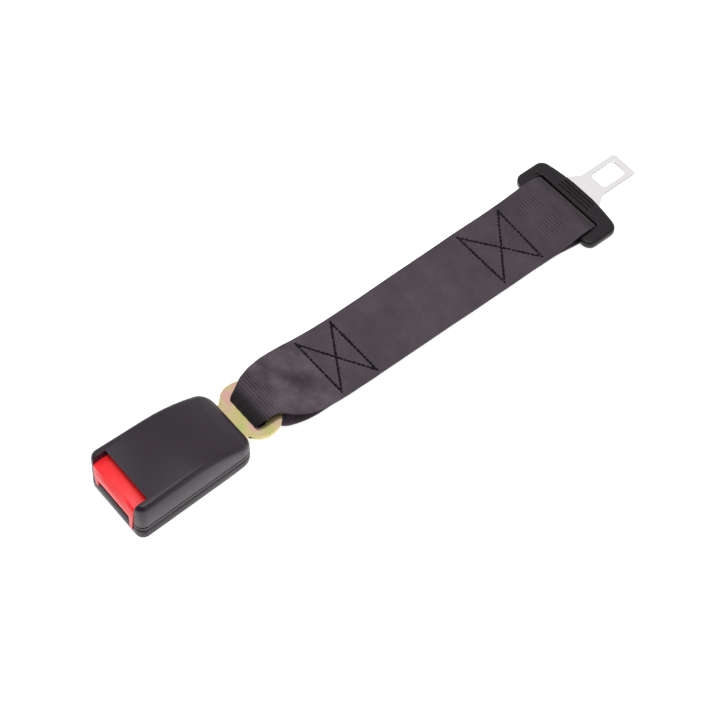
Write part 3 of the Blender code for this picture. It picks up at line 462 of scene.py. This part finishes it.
# Stations in millimetres: x, z, reach to the left and to the right, and the depth of the gathers
STATIONS = [
    (-17.0, 3.4, 23.8, 22.5, 0.0), (-30.0, 3.6, 23.5, 22.6, 0.0), (-46.0, 4.5, 23.0, 22.4, 0.0),
    (-56.0, 4.5, 22.8, 22.0, 0.1), (-67.0, 4.1, 22.0, 21.4, 0.1), (-76.0, 4.0, 20.4, 19.6, 0.1),
    (-82.5, 4.6, 17.0, 17.2, 0.1), (-88.5, 6.8, 12.6, 13.0, 0.1), (-93.6, 8.3, 11.6, 11.8, 0.1),
    (-97.3, 10.0, 11.6, 11.8, 0.1), (-98.2, 12.0, 11.2, 11.4, 0.1), (-96.9, 14.1, 12.0, 12.2, 0.1),
    (-93.0, 15.0, 14.0, 12.8, 0.1), (-88.0, 15.2, 17.0, 12.8, 0.15), (-84.0, 14.8, 18.8, 13.6, 0.15),
    (-80.0, 13.8, 20.4, 16.6, 0.15), (-75.0, 12.3, 21.8, 19.8, 0.15), (-69.0, 10.8, 23.2, 22.4, 0.1),
    (-58.0, 8.6, 24.0, 23.8, 0.1), (-46.0, 6.4, 24.0, 23.7, 0.0), (-34.0, 5.5, 23.6, 23.4, 0.0),
    (-18.0, 5.0, 23.5, 23.3, 0.0), (20.0, 5.1, 23.8, 23.6, 0.0), (72.0, 5.4, 24.2, 24.1, 0.0),
    (98.0, 5.6, 24.2, 24.1, 0.0), (110.0, 6.1, 24.2, 24.1, 0.0), (119.0, 7.0, 24.2, 24.1, 0.0),
    (125.0, 7.6, 24.2, 24.1, 0.0), (130.5, 7.6, 24.2, 24.1, 0.0), (135.0, 6.9, 24.1, 24.0, 0.0),
    (137.3, 5.6, 24.0, 23.9, 0.0), (138.2, 3.8, 23.9, 23.9, 0.0), (137.3, 1.9, 23.9, 23.9, 0.0),
    (134.6, 0.95, 24.2, 24.1, 0.0), (129.5, 0.85, 24.2, 24.1, 0.0), (124.0, 0.95, 24.0, 24.0, 0.0),
    (117.0, 2.2, 23.8, 23.8, 0.0), (109.0, 3.5, 23.6, 23.6, 0.0), (98.0, 4.0, 23.5, 23.5, 0.0),
    (68.0, 3.8, 24.0, 22.8, 0.0),
]
STEPS = 12                  # between each two stations
STRAP_ROWS = 520
STRAP_COLUMNS = 68
SELVEDGE = 0.3 * MM
# Above UPPER_SIDE the face swells a little off its run: not at SWELL_REST, and in full from
# SWELL_GROWS beyond it.
UPPER_SIDE = 2.0
SWELL = 0.25
SWELL_SPREAD = (26, 22)     # along and across
SWELL_REST = -34
SWELL_GROWS = 30
# The thread pulls the webbing in on the upper run, where it is nearly level.
SEAM_PULL = 0.38
SEAM_PULL_WIDE = 0.75
NEARLY_LEVEL = 0.9          # the share of the run's direction that points along the strap
# The box seams: two lines across and the two diagonals between them
SEAM_REACH = 20.2
SEAM_BOXES = (((-46.9, -46.9), (-22.3, -22.3)), ((71.0, 71.0), (101.6, 99.4)))


def smooth_run(stations, steps):
    """A smooth run through the stations, with some steps between each pair."""
    rows = []
    for here in range(len(stations) - 1):
        first, second = Vector(stations[here]), Vector(stations[here + 1])
        before = Vector(stations[max(here - 1, 0)])
        after = Vector(stations[min(here + 2, len(stations) - 1)])
        span = (second - first).length
        start = (second - before) / max((second - before).length, 0.001) * span
        end = (after - first) / max((after - first).length, 0.001) * span
        for step in range(steps):
            t = step / steps
            rows.append(first * (2 * t ** 3 - 3 * t ** 2 + 1) + start * (t ** 3 - 2 * t ** 2 + t)
                        + second * (3 * t ** 2 - 2 * t ** 3) + end * (t ** 3 - t ** 2))
    rows.append(Vector(stations[-1]))
    return rows


def seam_lines():
    """The ends of every sewn line on the strap's upper run, as pairs of (x, y) in millimetres."""
    lines = []
    for (rear_left, rear_right), (front_left, front_right) in SEAM_BOXES:
        rear = (Vector((rear_left, SEAM_REACH)), Vector((rear_right, -SEAM_REACH)))
        front = (Vector((front_left, SEAM_REACH)), Vector((front_right, -SEAM_REACH)))
        lines += [rear, front, (rear[0], front[1]), (rear[1], front[0])]
    return lines


def seam_dip(x, y):
    """How far the thread pulls the webbing down at a point, from 0 to 1."""
    deepest = 0.0
    for start, end in seam_lines():
        along = end - start
        share = min(max((Vector((x, y)) - start).dot(along) / along.length_squared, 0.0), 1.0)
        away = (Vector((x, y)) - start - along * share).length
        deepest = max(deepest, math.exp(-(away / SEAM_PULL_WIDE) ** 2))
    return deepest


run = smooth_run(STATIONS, STEPS)
lengths = [0.0]
for first, second in zip(run, run[1:]):
    lengths.append(lengths[-1] + math.hypot(second[0] - first[0], second[1] - first[1]))
strap_length = lengths[-1]


def on_run(distance):
    """The station at a distance along the strip, and the direction of the strip there."""
    here = 0
    while here < len(lengths) - 2 and lengths[here + 1] < distance:
        here += 1
    share = (distance - lengths[here]) / max(lengths[here + 1] - lengths[here], 1e-6)
    spot = run[here].lerp(run[here + 1], min(max(share, 0.0), 1.0))
    ahead, behind = run[min(here + 2, len(run) - 1)], run[max(here - 1, 0)]
    along = Vector((ahead[0] - behind[0], 0, ahead[1] - behind[1])).normalized()
    return spot, along


strap_mesh = bmesh.new()
bmesh.ops.create_grid(strap_mesh, x_segments=STRAP_ROWS, y_segments=STRAP_COLUMNS, size=0.5)
weave_map = strap_mesh.loops.layers.uv.new("weave")
for face in strap_mesh.faces:
    face.smooth = True
    for loop in face.loops:
        along_share, across_share = loop.vert.co.x + 0.5, loop.vert.co.y
        loop[weave_map].uv = (along_share * strap_length * MM, across_share * STRAP_WIDE)
stations_at = {}
for vert in strap_mesh.verts:
    share = round(vert.co.x + 0.5, 6)
    if share not in stations_at:
        stations_at[share] = on_run(share * strap_length)
    spot, along = stations_at[share]
    x, z, left, right, gather = spot
    y = (left + right) * vert.co.y + (left - right) / 2
    outward = Vector((-along.z, 0, along.x))
    wave = gather * math.cos(2 * math.pi * y * MM / GATHER_PITCH)
    offset = wave
    if z > UPPER_SIDE:
        ripple = noise.noise(Vector((x / SWELL_SPREAD[0], y / SWELL_SPREAD[1], share * 3)))
        offset += SWELL * ripple * min(abs(x - SWELL_REST) / SWELL_GROWS, 1)
        if along.x > NEARLY_LEVEL:
            offset -= SEAM_PULL * seam_dip(x, y)
    vert.co = (Vector((x, y, z)) + outward * offset) * MM
bmesh.ops.recalc_face_normals(strap_mesh, faces=strap_mesh.faces)
strap_data = bpy.data.meshes.new("folded_strap")
strap_mesh.to_mesh(strap_data)
strap_mesh.free()
strap = bpy.data.objects.new("folded_strap", strap_data)
scene.collection.objects.link(strap)
thickness = strap.modifiers.new("thickness", "SOLIDIFY")
thickness.thickness = STRAP_THICK
thickness.offset = 0.0
selvedge = strap.modifiers.new("selvedge", "BEVEL")
selvedge.width = SELVEDGE
selvedge.segments = 2
selvedge.angle_limit = math.radians(60)

# The weave: fine threads both ways, with coarser ribs where the strap is strained
WARP_PITCH = 0.95 * MM
WEFT_PITCH = 0.62 * MM
RIB_PITCH = 1.9 * MM
weave = Finish("black_weave", (0.060, 0.050, 0.060), 0.82, specular=0.25)
weave.shader.inputs["Sheen Weight"].default_value = 0.12
weave.shader.inputs["Sheen Roughness"].default_value = 0.45
lengthwise = weave.flat.add("ShaderNodeSeparateXYZ", {}, {0: weave.flat}, 0)
crosswise = weave.flat.add("ShaderNodeSeparateXYZ", {}, {0: weave.flat}, 1)
warp = (crosswise * (2 * math.pi / WARP_PITCH)).sine()
weft = (lengthwise * (2 * math.pi / WEFT_PITCH) + warp * 0.9).sine()
fuzz = weave.place.noise(900, 3)
patches = weave.place.stretched(1.0, 0.7, 1.0).noise(75, 3, 0.6)


def between(way, low, high, soft):
    """1 between two distances along or across the strip, falling softly to 0 beyond them."""
    rise = way.add("ShaderNodeMapRange", {"interpolation_type": "SMOOTHSTEP"},
                   {0: way, 1: low - soft, 2: low + soft, 3: 0.0, 4: 1.0})
    fall = way.add("ShaderNodeMapRange", {"interpolation_type": "SMOOTHSTEP"},
                   {0: way, 1: high - soft, 2: high + soft, 3: 1.0, 4: 0.0})
    return rise * fall


def at_station(number):
    """Distance in metres along the strip of a station, by its place in the list."""
    return lengths[number * STEPS] * MM


# The gathered roll and the turn before the grip's slot are painted darker as shade, and the last
# stretch before the grip is a little darker than the rest. Ribs show where the strap is strained
# round the anchor plate, and in two patches before the grip. Behind the anchor plate the tone is
# cloudier, with painted light and shade on the bunched crest.
# Painted shade on the gathered roll and on the turn before the grip's slot
roll_painted_shade = between(lengthwise, at_station(7), at_station(12) + 1.5 * MM, 3.5 * MM)
turn_painted_shade = between(lengthwise, at_station(29), at_station(33), 5.5 * MM)
strained = between(lengthwise, at_station(12), at_station(15) + 2.0 * MM, 2.0 * MM)
patch_span = between(lengthwise, at_station(25), at_station(26) + 4.5 * MM, 1.5 * MM)
patch_rows = (between(crosswise, 6.5 * MM, 17.0 * MM, 1.5 * MM)
              + between(crosswise, -13.0 * MM, -2.5 * MM, 1.5 * MM))
ribs = (lengthwise * (2 * math.pi / RIB_PITCH)).sine()
ribbed = ribs * (strained * 0.8 + patch_span * patch_rows)
height = warp * 0.22 + weft * 0.30 + fuzz * 0.5 + ribbed * 0.8
weave.bump(height, 0.00011)
# Painted light and shade: stronger light and dark patches on the bunched crest behind the anchor
# plate
crest_painted_light_and_shade = between(lengthwise, at_station(14), at_station(19), 8.0 * MM)
farther = between(lengthwise, at_station(24), at_station(32), 18.0 * MM)
shade = patches * (crest_painted_light_and_shade * 1.5 + 0.6) + 0.45 - crest_painted_light_and_shade * 0.70 - farther * 0.12
shade = shade + weft * 0.06 + warp * 0.05 + fuzz * 0.25 - 0.50 + ribbed * 0.22
lit = shade.mixed((0.026, 0.019, 0.025, 1), (0.118, 0.091, 0.113, 1))
# Painted shade: the roll and the turn are mixed towards near black
painted_shade = roll_painted_shade * 0.93 + turn_painted_shade * 0.85
weave.drive("Base Color", painted_shade.mixed(lit, (0.004, 0.003, 0.004, 1)))
strap_data.materials.append(weave.material)
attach(strap, "strap")
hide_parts("webbing")

# Stitching: heavy black thread, sewn through both layers behind each loop as two lines across the
# strap with a cross between them. Each stitch is a little out of line and of its own length.
STITCH_PITCH = 2.6
STITCH_LENGTH = 2.9
STITCH_SINK = 0.3
THREAD = 1.55
THREAD_FLATNESS = 0.7
STITCH_TURN = 0.45          # radians
STITCH_DRIFT = 0.55
STITCH_GROWTH = 0.45
UPPER_RUN_LOW = 4.0         # the upper run lies above this, from the roll on

roll = run.index(min(run, key=lambda row: row[0]))
top_run = [row for row in run[roll:] if row[1] > UPPER_RUN_LOW]


def upper_level(x):
    """Height of the strap's top face over a place on its upper run."""
    ahead = next(row for row in top_run if row[0] >= x)
    behind = top_run[top_run.index(ahead) - 1]
    share = (x - behind[0]) / (ahead[0] - behind[0])
    return behind[1] + (ahead[1] - behind[1]) * share + STRAP_THICK / MM / 2


stitch_mesh = bmesh.new()
for start, end in seam_lines():
    along = end - start
    count = int(along.length / STITCH_PITCH)
    for number in range(count + 1):
        x, y = start + along * (number / count)
        wander = noise.noise(Vector((x * 0.9, y * 0.9, 4.0)))
        grown = 1 + STITCH_GROWTH * noise.noise(Vector((x * 0.8, y * 0.8, 9.0)))
        heading = math.atan2(along.y, along.x) + STITCH_TURN * wander
        made = bmesh.ops.create_uvsphere(stitch_mesh, u_segments=8, v_segments=6, radius=0.5)
        shape = Matrix.Diagonal((
            STITCH_LENGTH * grown, THREAD * grown, THREAD * THREAD_FLATNESS, 1))
        turn = Matrix.Rotation(heading, 4, "Z")
        move = Matrix.Translation((x, y + STITCH_DRIFT * wander, upper_level(x) - STITCH_SINK))
        placed = Matrix.Scale(MM, 4) @ move @ turn @ shape
        bmesh.ops.transform(stitch_mesh, matrix=placed, verts=made["verts"])
for face in stitch_mesh.faces:
    face.smooth = True
stitch_data = bpy.data.meshes.new("box_stitching")
stitch_mesh.to_mesh(stitch_data)
stitch_mesh.free()
stitching = bpy.data.objects.new("box_stitching", stitch_data)
scene.collection.objects.link(stitching)
thread = Finish("black_thread", (0.013, 0.010, 0.012), 0.7, specular=0.12)
twist = thread.place.noise(1800, 2)
thread.bump(twist, 0.00008)
thread.drive("Base Color", twist.mixed((0.002, 0.001, 0.002, 1), (0.008, 0.005, 0.008, 1)))
stitch_data.materials.append(thread.material)
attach(stitching, "strap")
